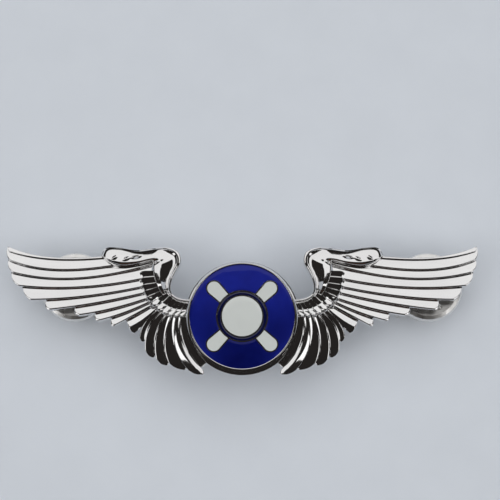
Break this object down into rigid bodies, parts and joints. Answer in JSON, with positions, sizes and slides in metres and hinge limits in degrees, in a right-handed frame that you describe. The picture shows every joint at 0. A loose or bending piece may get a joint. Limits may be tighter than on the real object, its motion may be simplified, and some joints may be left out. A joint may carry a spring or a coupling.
{
  "type": "pilot wings pin",
  "caption": "Chrome-plated spread wings badge with an enamelled propeller medallion, held through cloth by grooved posts and squeeze-release butterfly clutches.",
  "frame": {"origin": "middle of the footprint, level with the ear tips of the clutches", "axes": "+Z out of the badge's face, +Y towards the shoulders of the wings, +X along the right wing"},
  "size_m": [0.0762, 0.0202, 0.0103],
  "materials": {
    "plating": "mirror polished",
    "plated_steel": "bright stamped",
    "solder": "satin",
    "blue_enamel": "glossy translucent",
    "navy_enamel": "glossy",
    "white_enamel": "glossy"
  },
  "bodies": {
    "badge": {"wing_body": "plating", "medallion_tray": "plating", "enamel_field": "blue_enamel", "enamel_ring": "navy_enamel", "enamel_blades": "white_enamel", "enamel_hub": "white_enamel", "medallion_solder": "solder", "left_post": "plated_steel", "right_post": "plated_steel", "left_post_solder": "solder", "right_post_solder": "solder"},
    "left_clutch": {"left_clutch_base": "plated_steel", "left_clutch_cage": "plated_steel"},
    "right_clutch": {"right_clutch_base": "plated_steel", "right_clutch_cage": "plated_steel"},
    "left_inner_ear": {"left_ear_inner": "plated_steel"},
    "left_outer_ear": {"left_ear_outer": "plated_steel"},
    "right_inner_ear": {"right_ear_inner": "plated_steel"},
    "right_outer_ear": {"right_ear_outer": "plated_steel"}
  },
  "joints": [
    {"name": "left_clutch_slide", "type": "slide", "parent": "badge", "child": "left_clutch", "axis": [0, 0, -1], "range_m": [0, 0.009]},
    {"name": "left_inner_squeeze", "type": "hinge", "parent": "left_clutch", "child": "left_inner_ear", "pos_m": [-0.02555, 0.00306, 0.0031], "axis": [0.5, 0.866, 0], "range_deg": [0, 12], "stiffness_Nm_per_rad": 0.02, "springref_deg": -2.86},
    {"name": "left_outer_squeeze", "type": "hinge", "parent": "left_clutch", "child": "left_outer_ear", "pos_m": [-0.02885, 0.00496, 0.0031], "axis": [-0.5, -0.866, 0], "range_deg": [0, 12], "stiffness_Nm_per_rad": 0.02, "springref_deg": -2.86},
    {"name": "right_clutch_slide", "type": "slide", "parent": "badge", "child": "right_clutch", "axis": [0, 0, -1], "range_m": [0, 0.009]},
    {"name": "right_inner_squeeze", "type": "hinge", "parent": "right_clutch", "child": "right_inner_ear", "pos_m": [0.02855, 0.00306, 0.0031], "axis": [0.5, -0.866, 0], "range_deg": [0, 12], "stiffness_Nm_per_rad": 0.02, "springref_deg": -2.86},
    {"name": "right_outer_squeeze", "type": "hinge", "parent": "right_clutch", "child": "right_outer_ear", "pos_m": [0.03185, 0.00496, 0.0031], "axis": [-0.5, 0.866, 0], "range_deg": [0, 12], "stiffness_Nm_per_rad": 0.02, "springref_deg": -2.86}
  ]
}
